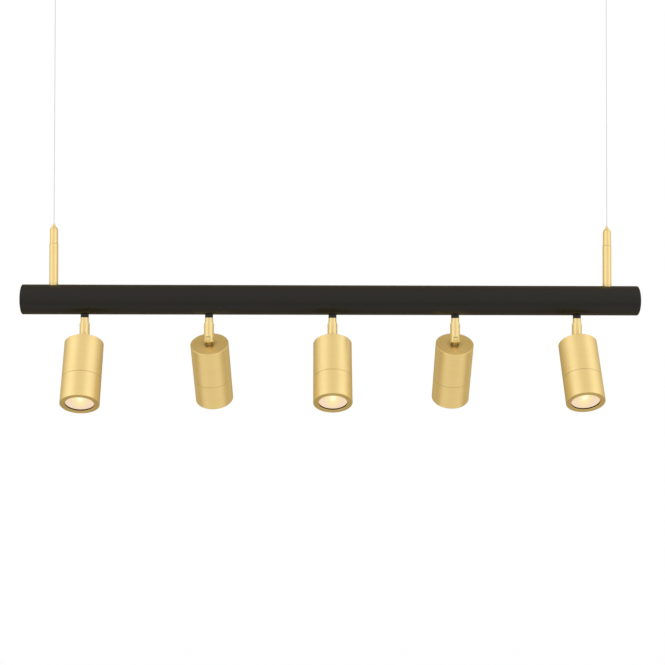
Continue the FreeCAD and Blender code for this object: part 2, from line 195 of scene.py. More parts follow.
def turned(name, profile, place, segments=96, closed=True, material=None):
    """A mesh turned from a profile of radii and heights about a piece's own axis.

    Row i, column j of the grid is (r_i cos t_j, r_i sin t_j, z_i) with t_j = 2 pi j / n,
    carried into place by a 4 x 4 matrix. A closed profile meets itself; an open one
    starts and ends on the axis. The map's u runs round the piece in metres at its
    widest radius, and v runs along the profile in metres. A profile that runs clockwise
    has its faces turned over, so that they point outwards.
    """
    profile = np.asarray(profile, float)
    rows = len(profile)
    turn = np.linspace(0, 2 * math.pi, segments, endpoint=False)
    r, z = profile[:, :1], profile[:, 1:2]
    grid = np.stack([r * np.cos(turn), r * np.sin(turn), z + 0 * turn], axis=-1)
    points = grid.reshape(-1, 3) @ np.array(place.to_3x3()).T + np.array(place.translation)
    if closed:
        i = np.arange(rows)
        following = (i + 1) % rows
    else:
        i = np.arange(rows - 1)
        following = i + 1
    j = np.arange(segments)
    after = (j + 1) % segments
    a = (i[:, None] * segments + j).ravel()
    b = (i[:, None] * segments + after).ravel()
    c = (following[:, None] * segments + after).ravel()
    d = (following[:, None] * segments + j).ravel()
    faces = np.column_stack([a, b, c, d])
    step = np.linalg.norm(np.diff(np.vstack([profile, profile[:1]]), axis=0), axis=1)
    along = np.concatenate([[0], np.cumsum(step)])
    widest = float(profile[:, 0].max())
    u0 = np.tile(j / segments, len(i)) * 2 * math.pi * widest
    u1 = np.tile((j + 1) / segments, len(i)) * 2 * math.pi * widest
    v0 = np.repeat(along[i], segments)
    v1 = np.repeat(along[i + 1], segments)
    uv = np.stack([np.column_stack([u0, v0]), np.column_stack([u1, v0]),
                   np.column_stack([u1, v1]), np.column_stack([u0, v1])], axis=1)
    onward = np.roll(profile, -1, axis=0)
    twice_area = np.sum(profile[:, 0] * onward[:, 1] - onward[:, 0] * profile[:, 1])
    if twice_area < 0:
        faces, uv = faces[:, ::-1], uv[:, ::-1]
    return mesh_piece(name, points, faces, uv, material)


def coiled(name, x, low, high, radius, wire, turns, material):
    """A spring: a circle of the wire's radius carried up a helix about the upright at x.

    The middle of the circle at angle t is (R cos t, R sin t, low + (high - low) t / last t).
    The circle lies across the run of the helix, between its direction outwards and the
    direction square to both. Each end closes on a point.
    """
    t = np.linspace(0, 2 * math.pi * turns, int(32 * turns) + 1)
    rise = (high - low) / t[-1]
    centre = np.stack([x + radius * np.cos(t), radius * np.sin(t), low + rise * t], axis=-1)
    outward = np.stack([np.cos(t), np.sin(t), 0 * t], axis=-1)
    run = np.stack([-radius * np.sin(t), radius * np.cos(t), rise + 0 * t], axis=-1)
    run /= np.linalg.norm(run, axis=1, keepdims=True)
    square = np.cross(run, outward)
    sides = 10
    around = np.linspace(0, 2 * math.pi, sides, endpoint=False)
    circle = (np.cos(around)[:, None] * outward[:, None, :]
              + np.sin(around)[:, None] * square[:, None, :])
    tube = centre[:, None, :] + wire * circle
    ends = np.repeat(centre[[0, -1]][:, None, :], sides, axis=1)
    points = np.concatenate([ends[:1], tube, ends[1:]]).reshape(-1, 3)
    rows = len(t) + 2
    i, j = np.meshgrid(np.arange(rows - 1), np.arange(sides), indexing="ij")
    i, j = i.ravel(), j.ravel()
    after = (j + 1) % sides
    faces = np.column_stack([i * sides + j, i * sides + after,
                             (i + 1) * sides + after, (i + 1) * sides + j])
    step = np.linalg.norm(centre[1] - centre[0])
    uv = np.stack([np.column_stack([i + di, j + dj]) * step
                   for di, dj in ((0, 0), (0, 1), (1, 1), (1, 0))], axis=1)
    return mesh_piece(name, points, faces, uv, material)


def drill(piece, place, low, high, radius):
    """Bores a round hole into a piece, along a place's own axis between two heights."""
    # turned a little, so that no corner of the bit lies on an edge of the piece
    place = place @ Matrix.Rotation(0.07, 4, "Z")
    outline = [(0, low), (radius, low), (radius, high), (0, high)]
    bit = turned("drill", outline, place, 32, closed=False)
    hole = piece.modifiers.new("hole", "BOOLEAN")
    hole.object, hole.operation, hole.solver = bit, "DIFFERENCE", "EXACT"
    bpy.context.view_layer.update()
    shape = piece.evaluated_get(bpy.context.evaluated_depsgraph_get())
    bored = bpy.data.meshes.new_from_object(shape)
    piece.modifiers.clear()
    piece.data = bored
    bpy.data.objects.remove(bit)


def mesh_piece(name, points, faces, uv, material):
    """One object from arrays of points, four-sided faces and their map, poles closed."""
    mesh = bpy.data.meshes.new(name)
    mesh.vertices.add(len(points))
    mesh.vertices.foreach_set("co", points.astype(np.float32).ravel())
    mesh.loops.add(faces.size)
    mesh.loops.foreach_set("vertex_index", faces.astype(np.int32).ravel())
    mesh.polygons.add(len(faces))
    mesh.polygons.foreach_set("loop_start", np.arange(0, faces.size, 4, dtype=np.int32))
    mesh.polygons.foreach_set("use_smooth", np.ones(len(faces), bool))
    layer = mesh.uv_layers.new(name="turned")
    layer.data.foreach_set("uv", uv.astype(np.float32).ravel())
    mesh.update(calc_edges=True)
    mesh.validate()
    weld(mesh)
    if material:
        mesh.materials.append(material)
    piece = bpy.data.objects.new(name, mesh)
    bpy.context.scene.collection.objects.link(piece)
    return piece


def weld(mesh):
    """Merges the points that lie together at a pole on the axis."""
    work = bmesh.new()
    work.from_mesh(mesh)
    bmesh.ops.remove_doubles(work, verts=work.verts, dist=1e-7)
    bmesh.ops.dissolve_degenerate(work, dist=1e-8, edges=work.edges)
    work.to_mesh(mesh)
    work.free()


# ---------------- places
def upright(x, z=0.0):
    """A place at x along the bar, raised to z and not turned."""
    return Matrix.Translation((x, 0, z))


def lying(z):
    """Turns a piece's own axis on to the axis of the bar, +X."""
    return Matrix.Translation((0, 0, z)) @ Matrix.Rotation(math.pi / 2, 4, "Y")


def head_place(n):
    """A spotlight's own frame: the tilt pivot, with +Z up its body and X on the pivot."""
    pivot = Vector(JOINTS[f"tilt_{n}"]["pos_m"])
    up = -Vector(JOINTS[f"front_off_{n}"]["axis"]).normalized()
    across = -Vector(JOINTS[f"tilt_{n}"]["axis"]).normalized()
    back = up.cross(across)
    place = Matrix((across, back, up)).transposed().to_4x4()
    place.translation = pivot
    return place


def middle(node):
    """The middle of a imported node's box."""
    low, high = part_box(node)
    return (low + high) / 2


# ---------------- materials
def add(tree, kind, links=None, **settings):
    """Adds a node. settings are its properties and inputs by name, and links its inputs by
    name or number, each with the output that is joined to it or the value that it gets.
    """
    node = tree.nodes.new(kind)
    for key, value in settings.items():
        if hasattr(node, key):
            setattr(node, key, value)
        else:
            node.inputs[key.replace("_", " ")].default_value = value
    for socket, source in (links or {}).items():
        if isinstance(source, bpy.types.NodeSocket):
            tree.links.new(source, node.inputs[socket])
        else:
            node.inputs[socket].default_value = source
    return node


def new_material(name):
    material = bpy.data.materials.new(name)
    material.use_nodes = True
    material.node_tree.nodes.clear()
    return material, material.node_tree


def rgba(colour):
    return (*colour, 1.0)


def mix_painted_shade(tree, colour, painted_shade, reach, bright):
    """Mixes painted shade, a brown, into a colour where other faces stand close.

    It starts where faces nearer than reach leave less than the share bright of the view
    open, and is nine tenths where they leave a fifth.
    """
    open_share = add(tree, "ShaderNodeAmbientOcclusion", samples=8, Distance=reach)
    hidden = add(tree, "ShaderNodeMapRange", {"Value": open_share.outputs["AO"]},
                 interpolation_type="SMOOTHSTEP",
                 From_Min=0.2, From_Max=bright, To_Min=0.9, To_Max=0.0)
    return add(tree, "ShaderNodeMix", {"Factor": hidden.outputs[0], 6: colour, 7: rgba(painted_shade)},
               data_type="RGBA")


def brushed(tree, tint, rough, bump, around):
    """Brass that shines across the fine lines of its brushing, which run along a tangent."""
    shader = add(tree, "ShaderNodeBsdfPrincipled",
                 {"Base Color": tint.outputs[2], "Roughness": rough.outputs[0],
                  "Normal": bump.outputs[0], "Tangent": around.outputs[0]},
                 Metallic=1.0, Anisotropic=0.5, Anisotropic_Rotation=0.25)
    add(tree, "ShaderNodeOutputMaterial", {"Surface": shader.outputs[0]})


def turned_brass(name, colours):
    """Satin brass, turned and brushed round each piece on the lathe, then lacquered.

    The brush leaves fine lines round the piece, so it shines in soft bands along its
    length, and a disc shines in two opposite fans. Real lines are about 0.05 mm apart;
    they are drawn 0.36 mm apart so that they show. Where other faces stand within 12 mm,
    the brass is mixed towards brown: painted shade in the grooves, corners and ring.
    """
    material, tree = new_material(name)
    line_pitch, band_pitch = MM / 2.8, MM / 0.15
    place = add(tree, "ShaderNodeUVMap", uv_map="turned")
    fine = add(tree, "ShaderNodeMapping", {"Vector": place.outputs["UV"]},
               Scale=(12, 1 / line_pitch, 1))
    lines = add(tree, "ShaderNodeTexNoise", {"Vector": fine.outputs["Vector"]},
                noise_dimensions="2D", Scale=1.0, Detail=3.0, Roughness=0.6)
    broad = add(tree, "ShaderNodeMapping", {"Vector": place.outputs["UV"]},
                Scale=(4, 1 / band_pitch, 1))
    bands = add(tree, "ShaderNodeTexNoise", {"Vector": broad.outputs["Vector"]},
                noise_dimensions="2D", Scale=1.0, Detail=2.0)
    share = add(tree, "ShaderNodeMapRange", {"Value": lines.outputs["Fac"]},
                From_Min=0.25, From_Max=0.75, To_Min=0.0, To_Max=1.0)
    tint = add(tree, "ShaderNodeMix",
               {"Factor": share.outputs[0], 6: rgba(colours.brass_shade), 7: rgba(colours.brass)},
               data_type="RGBA")
    # painted shade in the grooves, corners and ring, where other faces stand within 12 mm
    tint = mix_painted_shade(tree, tint.outputs[2], colours.painted_shade, reach=12 * MM, bright=0.95)
    both = add(tree, "ShaderNodeMath", {0: lines.outputs["Fac"], 1: bands.outputs["Fac"]},
               operation="ADD")
    rough = add(tree, "ShaderNodeMapRange", {"Value": both.outputs[0]},
                From_Min=0.7, From_Max=1.3, To_Min=0.44, To_Max=0.38)
    bump = add(tree, "ShaderNodeBump", {"Height": lines.outputs["Fac"]},
               Strength=0.05, Distance=0.02 * MM)
    around = add(tree, "ShaderNodeTangent", direction_type="UV_MAP", uv_map="turned")
    brushed(tree, tint, rough, bump, around)
    return material


def small_brass(name, colours):
    """Satin brass on the small pieces of the knuckles, brushed round the upright.

    The bevel node rounds the look of their edges by 0.4 mm. Where other faces stand
    within 4 mm, the brass is mixed towards brown: painted shade in the slots and corners.
    The lines are drawn 0.38 mm apart so that they show.
    """
    material, tree = new_material(name)
    line_pitch = MM / 2.6
    place = add(tree, "ShaderNodeTexCoord")
    fine = add(tree, "ShaderNodeMapping", {"Vector": place.outputs["Object"]},
               Scale=(60, 60, 1 / line_pitch))
    lines = add(tree, "ShaderNodeTexNoise", {"Vector": fine.outputs["Vector"]},
                Scale=1.0, Detail=3.0, Roughness=0.6)
    # the knuckles' colour is a darker copy of the brass: painted shade of the bar above them
    tint = add(tree, "ShaderNodeMix",
               {"Factor": lines.outputs["Fac"], 6: rgba(colours.brass_shade),
                7: rgba(colours.shaded_knuckle_brass)}, data_type="RGBA")
    # painted shade in the slots and corners, where other faces stand within 4 mm
    tint = mix_painted_shade(tree, tint.outputs[2], colours.painted_shade, reach=4 * MM, bright=0.85)
    rough = add(tree, "ShaderNodeMapRange", {"Value": lines.outputs["Fac"]},
                From_Min=0.3, From_Max=0.7, To_Min=0.38, To_Max=0.32)
    soft = add(tree, "ShaderNodeBevel", samples=6, Radius=0.4 * MM)
    bump = add(tree, "ShaderNodeBump", {"Height": lines.outputs["Fac"], "Normal": soft.outputs[0]},
               Strength=0.05, Distance=0.02 * MM)
    around = add(tree, "ShaderNodeTangent", direction_type="RADIAL", axis="Z")
    brushed(tree, tint, rough, bump, around)
    return material


def powder_coat(name, colours):
    """Satin black powder coat: baked on, with a fine orange peel about 1 mm across.

    Its gloss varies a little from place to place, over about 30 mm.
    """
    material, tree = new_material(name)
    peel_size, cloud_size = MM / 0.9, MM / 0.035
    place = add(tree, "ShaderNodeTexCoord")
    peel = add(tree, "ShaderNodeTexNoise", {"Vector": place.outputs["Object"]},
               Scale=1 / peel_size, Detail=2.0, Roughness=0.5)
    cloud = add(tree, "ShaderNodeTexNoise", {"Vector": place.outputs["Object"]},
                Scale=1 / cloud_size, Detail=2.0)
    rough = add(tree, "ShaderNodeMapRange", {"Value": cloud.outputs["Fac"]},
                From_Min=0.3, From_Max=0.7, To_Min=0.32, To_Max=0.40)
    bump = add(tree, "ShaderNodeBump", {"Height": peel.outputs["Fac"]},
               Strength=0.2, Distance=0.05 * MM)
    shader = add(tree, "ShaderNodeBsdfPrincipled",
                 {"Roughness": rough.outputs[0], "Normal": bump.outputs[0]},
                 Base_Color=rgba(colours.black), IOR=1.5, Specular_IOR_Level=0.3)
    add(tree, "ShaderNodeOutputMaterial", {"Surface": shader.outputs[0]})
    return material


def plain_metal(name, colour, roughness, grain):
    """Plated or blackened metal, or brass darkened as painted shade, with a mottle of a grain given in metres."""
    material, tree = new_material(name)
    place = add(tree, "ShaderNodeTexCoord")
    mottle = add(tree, "ShaderNodeTexNoise", {"Vector": place.outputs["Object"]},
                 Scale=1 / grain, Detail=3.0)
    rough = add(tree, "ShaderNodeMapRange", {"Value": mottle.outputs["Fac"]},
                From_Min=0.3, From_Max=0.7, To_Min=roughness - 0.05, To_Max=roughness + 0.05)
    bump = add(tree, "ShaderNodeBump", {"Height": mottle.outputs["Fac"]},
               Strength=0.1, Distance=0.03 * MM)
    shader = add(tree, "ShaderNodeBsdfPrincipled",
                 {"Roughness": rough.outputs[0], "Normal": bump.outputs[0]},
                 Base_Color=rgba(colour), Metallic=1.0)
    add(tree, "ShaderNodeOutputMaterial", {"Surface": shader.outputs[0]})
    return material


def stranded_wire(name, colours):
    """Bright drawn steel: seven strands laid round the wire at a pitch of about 7 mm."""
    material, tree = new_material(name)
    lays = 70.0  # turns of the strands over the wire's whole length, the map's u
    strand_count = 7
    place = add(tree, "ShaderNodeUVMap")
    split = add(tree, "ShaderNodeSeparateXYZ", {"Vector": place.outputs["UV"]})
    along = add(tree, "ShaderNodeMath", {0: split.outputs[0], 1: lays}, operation="MULTIPLY")
    both = add(tree, "ShaderNodeMath", {0: along.outputs[0], 1: split.outputs[1]}, operation="ADD")
    strands = add(tree, "ShaderNodeMath", {0: both.outputs[0], 1: 2 * math.pi * strand_count},
                  operation="MULTIPLY")
    wave = add(tree, "ShaderNodeMath", {0: strands.outputs[0]}, operation="SINE")
    bump = add(tree, "ShaderNodeBump", {"Height": wave.outputs[0]},
               Strength=0.5, Distance=0.05 * MM)
    shader = add(tree, "ShaderNodeBsdfPrincipled", {"Normal": bump.outputs[0]},
                 Base_Color=rgba(colours.wire), Metallic=1.0, Roughness=0.35)
    add(tree, "ShaderNodeOutputMaterial", {"Surface": shader.outputs[0]})
    return material


def moulded(name, colour, roughness, grain):
    """A moulded, fired or vulcanised surface, with a fine even grain given in metres."""
    material, tree = new_material(name)
    place = add(tree, "ShaderNodeTexCoord")
    speck = add(tree, "ShaderNodeTexNoise", {"Vector": place.outputs["Object"]},
                Scale=1 / grain, Detail=2.0)
    bump = add(tree, "ShaderNodeBump", {"Height": speck.outputs["Fac"]},
               Strength=0.3, Distance=0.03 * MM)
    shader = add(tree, "ShaderNodeBsdfPrincipled", {"Normal": bump.outputs[0]},
                 Base_Color=rgba(colour), Roughness=roughness, IOR=1.5)
    add(tree, "ShaderNodeOutputMaterial", {"Surface": shader.outputs[0]})
    return material


def lit_lens(name, colours, radius, edge):
    """The lit front of the lamp: a bright middle, then yellow, then peach at its rim.

    The map's v is the distance from the middle in metres, and u over the edge's radius
    is the angle round it. The glow is 1.7 times longer to front and back than to the
    sides. Rings 1.6 mm apart are the steps of the moulded lens. Its beam is narrow, so
    it hardly lights the ring round it.
    """
    material, tree = new_material(name)
    lens_step = 1.6 * MM
    place = add(tree, "ShaderNodeUVMap", uv_map="turned")
    split = add(tree, "ShaderNodeSeparateXYZ", {"Vector": place.outputs["UV"]})
    turn = add(tree, "ShaderNodeMath", {0: split.outputs[0], 1: edge}, operation="DIVIDE")
    aside = add(tree, "ShaderNodeMath", {0: turn.outputs[0]}, operation="COSINE")
    ahead = add(tree, "ShaderNodeMath", {0: turn.outputs[0]}, operation="SINE")
    spot = add(tree, "ShaderNodeCombineXYZ", {"X": aside.outputs[0], "Y": ahead.outputs[0]})
    stretched = add(tree, "ShaderNodeMapping", {"Vector": spot.outputs[0]},
                    Scale=(1.45, 0.85, 1))
    share = add(tree, "ShaderNodeVectorMath", {0: stretched.outputs[0]}, operation="LENGTH")
    reach = add(tree, "ShaderNodeMath", {0: split.outputs[1], 1: share.outputs["Value"]},
                operation="MULTIPLY")
    near = add(tree, "ShaderNodeMapRange", {"Value": reach.outputs[0]},
               interpolation_type="SMOOTHSTEP", From_Min=0.15 * radius, From_Max=0.5 * radius,
               To_Min=0.0, To_Max=1.0)
    far = add(tree, "ShaderNodeMapRange", {"Value": reach.outputs[0]},
              interpolation_type="SMOOTHSTEP", From_Min=0.4 * radius, From_Max=0.95 * radius,
              To_Min=0.0, To_Max=1.0)
    inner = add(tree, "ShaderNodeMix",
                {"Factor": near.outputs[0], 6: rgba(colours.lamp_core), 7: rgba(colours.lamp_glow)},
                data_type="RGBA")
    glow = add(tree, "ShaderNodeMix",
               {"Factor": far.outputs[0], 6: inner.outputs[2], 7: rgba(colours.lamp_rim)},
               data_type="RGBA")
    rings = add(tree, "ShaderNodeMath", {0: split.outputs[1], 1: 2 * math.pi / lens_step},
                operation="MULTIPLY")
    wave = add(tree, "ShaderNodeMath", {0: rings.outputs[0]}, operation="SINE")
    bump = add(tree, "ShaderNodeBump", {"Height": wave.outputs[0]},
               Strength=0.3, Distance=0.1 * MM)
    ray = add(tree, "ShaderNodeLightPath")
    spread = add(tree, "ShaderNodeMath", {0: ray.outputs["Is Diffuse Ray"],
                                          1: ray.outputs["Is Glossy Ray"]}, operation="MAXIMUM")
    strength = add(tree, "ShaderNodeMapRange", {"Value": spread.outputs[0]},
                   To_Min=0.92, To_Max=0.15)
    shader = add(tree, "ShaderNodeBsdfPrincipled",
                 {"Emission Color": glow.outputs[2], "Emission Strength": strength.outputs[0],
                  "Normal": bump.outputs[0]},
                 Base_Color=UNLIT_LENS, Roughness=0.3)
    add(tree, "ShaderNodeOutputMaterial", {"Surface": shader.outputs[0]})
    return material


# ---------------- operators
class PendantStep:
    """Common ground of the operators that dress the pendant."""

    @property
    def sizes(self):
        return bpy.context.scene.pendant_sizes

    @property
    def colours(self):
        return bpy.context.scene.pendant_colours

    def finish(self, name, maker, *values):
        """The material of that name, made once."""
        return bpy.data.materials.get(name) or maker(name, *values)

    def turned_brass(self):
        return self.finish("satin_brass_turned", turned_brass, self.colours)

    def powder_coat(self):
        return self.finish("satin_black_powder_coat", powder_coat, self.colours)

    def zinc(self):
        return self.finish("zinc_plated_steel", plain_metal, self.colours.zinc, 0.35, 1.2 * MM)


# The camera stands 74 mm left of the middle, 2.05 m away and a little below the bar. It is
# turned 2 degrees to face it and looks up one degree.
CAMERA_X, CAMERA_Y, CAMERA_BELOW_BAR = -0.0736, -2.0537, 0.0537
CAMERA_PITCH, CAMERA_YAW, CAMERA_ROLL = 1.142, -2.053, 0.083  # degrees
CAMERA_LENS, CAMERA_FILM = 68.476, 36.0  # millimetres
CAMERA_SHIFT, CAMERA_REACH = -0.03696, 50
# the floor and the two light panels, in metres
FLOOR_DROP, FLOOR_RADIUS, FLOOR_THICKNESS = 0.9, 6, 0.02
PANEL_X, PANEL_Y, PANEL_ABOVE_BAR, PANEL_SIDE, PANEL_WATTS = 1.7, -0.1, 1.2, 1.4, 6.3
SOFT_LIGHT = 0.75  # what reaches the object from all round


class BuildStage(PendantStep, bpy.types.Operator):
    """The camera at the photograph's angle, a pale floor and soft studio light."""

    bl_idname = "pendant.stage"
    bl_label = "Stage and camera"

    def execute(self, context):
        bar = middle("bar_tube")
        camera = bpy.data.objects.new("camera", bpy.data.cameras.new("camera"))
        context.scene.collection.objects.link(camera)
        context.scene.camera = camera
        camera.data.lens = CAMERA_LENS
        camera.data.sensor_width = CAMERA_FILM
        camera.data.clip_end = CAMERA_REACH
        camera.data.shift_y = CAMERA_SHIFT
        aim = (Matrix.Rotation(math.radians(CAMERA_YAW), 4, "Z")
               @ Matrix.Rotation(math.pi / 2 + math.radians(CAMERA_PITCH), 4, "X")
               @ Matrix.Rotation(math.radians(CAMERA_ROLL), 4, "Z"))
        stand = (CAMERA_X, CAMERA_Y, bar.z - CAMERA_BELOW_BAR)
        camera.matrix_world = Matrix.Translation(stand) @ aim

        floor_z = CAD_BOX[0][2] - FLOOR_DROP
        outline = [(0, 0.0), (FLOOR_RADIUS, 0.0), (FLOOR_RADIUS, -FLOOR_THICKNESS),
                   (0, -FLOOR_THICKNESS)]
        floor = turned("floor", outline, upright(0, floor_z), closed=False,
                       material=self.pale_floor())
        floor.visible_glossy = False

        world = bpy.data.worlds.new("studio")
        context.scene.world = world
        world.use_nodes = True
        world.node_tree.nodes.clear()
        self.light_all_round(world.node_tree)
        for name, x in (("panel_left", -PANEL_X), ("panel_right", PANEL_X)):
            self.panel(name, (x, PANEL_Y, bar.z + PANEL_ABOVE_BAR), bar)
        return {"FINISHED"}

    def light_all_round(self, tree):
        """White to the eye, soft light on the object, and a studio for metal to mirror.

        The mirrored studio depends on the direction alone, along unit axes X, Y and Z: a
        white front, two soft bright sides that grow brighter with height, a dimmer and
        warmer back, and a darker band about 29 degrees below the level, whose sine is 0.48.
        """
        ray = add(tree, "ShaderNodeLightPath")
        toward = add(tree, "ShaderNodeSeparateXYZ",
                     {"Vector": add(tree, "ShaderNodeTexCoord").outputs["Generated"]})
        depth = add(tree, "ShaderNodeMapRange", {"Value": toward.outputs["Y"]},
                    interpolation_type="SMOOTHSTEP",
                    From_Min=-0.6, From_Max=0.6, To_Min=0.95, To_Max=0.40)
        side_glow = add(tree, "ShaderNodeMapRange", {"Value": toward.outputs["Z"]},
                        interpolation_type="SMOOTHSTEP",
                        From_Min=-0.1, From_Max=0.6, To_Min=0.24, To_Max=0.48)
        aside = add(tree, "ShaderNodeMath", {0: toward.outputs["X"]}, operation="ABSOLUTE")
        glow = add(tree, "ShaderNodeMapRange",
                   {"Value": aside.outputs[0], "To Max": side_glow.outputs[0]},
                   interpolation_type="SMOOTHSTEP", From_Min=0.2, From_Max=0.85, To_Min=0.0)
        studio = add(tree, "ShaderNodeMath", {0: depth.outputs[0], 1: glow.outputs[0]},
                     operation="ADD")
        above_band = add(tree, "ShaderNodeMath", {0: toward.outputs["Z"], 1: 0.48}, operation="ADD")
        off_band = add(tree, "ShaderNodeMath", {0: above_band.outputs[0]}, operation="ABSOLUTE")
        band = add(tree, "ShaderNodeMapRange", {"Value": off_band.outputs[0]},
                   interpolation_type="SMOOTHSTEP",
                   From_Min=0.0, From_Max=0.24, To_Min=0.68, To_Max=1.0)
        room = add(tree, "ShaderNodeMath", {0: studio.outputs[0], 1: band.outputs[0]},
                   operation="MULTIPLY")
        lit = add(tree, "ShaderNodeMapRange", {"Value": room.outputs[0]},
                  From_Min=0.45, From_Max=1.15)
        tone = add(tree, "ShaderNodeMix",
                   {"Factor": lit.outputs[0], 6: rgba(linear(WARM_ROOM)), 7: WHITE},
                   data_type="RGBA")
        soft = add(tree, "ShaderNodeBackground", Color=WHITE, Strength=SOFT_LIGHT)
        around = add(tree, "ShaderNodeBackground",
                     {"Strength": room.outputs[0], "Color": tone.outputs[2]})
        white = add(tree, "ShaderNodeBackground", Color=WHITE, Strength=1.0)
        mirrored = add(tree, "ShaderNodeMath",
                       {0: ray.outputs["Is Glossy Ray"], 1: ray.outputs["Is Transmission Ray"]},
                       operation="MAXIMUM")
        mix = add(tree, "ShaderNodeMixShader",
                  {0: mirrored.outputs[0], 1: soft.outputs[0], 2: around.outputs[0]})
        mix = add(tree, "ShaderNodeMixShader",
                  {0: ray.outputs["Is Camera Ray"], 1: mix.outputs[0], 2: white.outputs[0]})
        add(tree, "ShaderNodeOutputWorld", {"Surface": mix.outputs[0]})

    def panel(self, name, place, target):
        """A square light panel that faces the target and isn't mirrored in the metal."""
        light = bpy.data.lights.new(name, "AREA")
        light.shape, light.energy = "RECTANGLE", PANEL_WATTS
        light.size = light.size_y = PANEL_SIDE
        panel = bpy.data.objects.new(name, light)
        panel.visible_glossy = False
        bpy.context.scene.collection.objects.link(panel)
        facing = (Vector(place) - target).to_track_quat("Z", "Y").to_matrix().to_4x4()
        panel.matrix_world = Matrix.Translation(place) @ facing

    def pale_floor(self):
        """A pale floor that is white to the eye and still takes the object's shadow.

        About a fortieth of the grey shows under the object, and none 3.5 m from the origin.
        """
        material, tree = new_material("pale_floor")
        ray = add(tree, "ShaderNodeLightPath")
        pale = add(tree, "ShaderNodeBsdfDiffuse", Color=FLOOR_GREY)
        white = add(tree, "ShaderNodeEmission", Color=WHITE, Strength=1.0)
        spot = add(tree, "ShaderNodeTexCoord")
        reach = add(tree, "ShaderNodeVectorMath", {0: spot.outputs["Object"]}, operation="LENGTH")
        fade = add(tree, "ShaderNodeMapRange", {"Value": reach.outputs["Value"]},
                   From_Min=1.0, From_Max=3.5, To_Min=0.97, To_Max=1.0)
        seen = add(tree, "ShaderNodeMath", {0: ray.outputs["Is Camera Ray"], 1: fade.outputs[0]},
                   operation="MULTIPLY")
        mix = add(tree, "ShaderNodeMixShader",
                  {0: seen.outputs[0], 1: pale.outputs[0], 2: white.outputs[0]})
        add(tree, "ShaderNodeOutputMaterial", {"Surface": mix.outputs[0]})
        return material


class BuildWires(PendantStep, bpy.types.Operator):
    """Two straight taut wires, each from its stop in the ceiling cup down into its stem."""

    bl_idname = "pendant.wires"
    bl_label = "Suspension wires"

    def execute(self, context):
        material = self.finish("drawn_wire_strands", stranded_wire, self.colours)
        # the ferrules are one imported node, wire_stops, so no drawn piece is one
        for side in SIDES:
            low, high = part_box("wire_" + side)
            x = (low.x + high.x) / 2
            curve = bpy.data.curves.new("wire_" + side + "_line", "CURVE")
            curve.dimensions = "3D"
            spline = curve.splines.new("NURBS")
            spline.points.add(2)
            middle_z = (low.z + high.z) / 2
            for point, z in zip(spline.points, (high.z, middle_z, low.z)):
                point.co = (x, 0, z, 1)
            spline.order_u = 3
            spline.use_endpoint_u = True
            curve.bevel_depth = self.sizes.wire_radius
            curve.bevel_resolution = 4
            curve.resolution_u = 24
            curve.use_fill_caps = True
            curve.materials.append(material)
            line = bpy.data.objects.new("wire_" + side + "_line", curve)
            context.scene.collection.objects.link(line)
            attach(line, "suspension")
            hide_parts("wire_" + side)
        return {"FINISHED"}


class BuildBar(PendantStep, bpy.types.Operator):
    """The black tube with its two closed, round-edged ends."""

    bl_idname = "pendant.bar"
    bl_label = "Bar and end caps"

    def execute(self, context):
        material = self.powder_coat()
        tube_low, tube_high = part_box("bar_tube")
        cap_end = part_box("end_caps")[1].x
        z = middle("bar_tube").z
        radius = (tube_high.z - tube_low.z) / 2
        wall, join_edge = 2 * MM, 0.15 * MM
        wire_hole, bush_hole = 0.9 * MM, 5.0 * MM
        # rings of points on both sides of the holes keep the faces that they cut small
        bush = middle("supply_grommet").x
        wires = [middle("wire_" + side).x for side in SIDES]
        rings = [x + off for x in sorted([bush, *wires]) for off in (-8 * MM, 8 * MM)]
        rings = [tube_low.x, *rings, tube_high.x]
        outline = [(radius, x) for x in rings] + [(radius - wall, x) for x in reversed(rings)]
        tube = turned("bar_tube_skin", rounded(outline, join_edge), lying(z), 128,
                      material=material)
        depths = radius - 3 * wall, radius + wall
        for x in wires:
            # the wire's spare end goes down into the bar when the bar is raised
            drill(tube, upright(x, z), *depths, wire_hole)
        # the rubber bush of the supply cable stands in a hole in the back
        backwards = Matrix.Translation((bush, 0, z)) @ Matrix.Rotation(-math.pi / 2, 4, "X")
        drill(tube, backwards, *depths, bush_hole)
        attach(tube, "bar")
        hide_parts("bar_tube")
        # each cap is a plug with a full-width head, a fine gap away from the tube's end
        rim = self.sizes.bar_rim
        plug_radius, plug_end = radius - wall - 0.2 * MM, tube_high.x - 8 * MM
        head = tube_high.x + 0.02 * MM
        outline = [(0, plug_end), (plug_radius, plug_end, 0.3 * MM), (plug_radius, head, 0),
                   (radius, head, join_edge), (radius, cap_end, rim), (0, cap_end)]
        right = turned("end_cap_right", rounded(outline, rim, 6, closed=False), lying(z), 128,
                       closed=False, material=material)
        mirrored = [(row[0], -row[1], *row[2:]) for row in outline]
        left = turned("end_cap_left", rounded(mirrored, rim, 6, closed=False), lying(z), 128,
                      closed=False, material=material)
        for cap in (left, right):
            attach(cap, "bar")
            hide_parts("end_caps")
        # the studio's fill light drowns the bar's reflection in the brass below it
        for piece in (tube, left, right):
            piece.visible_glossy = False
        return {"FINISHED"}


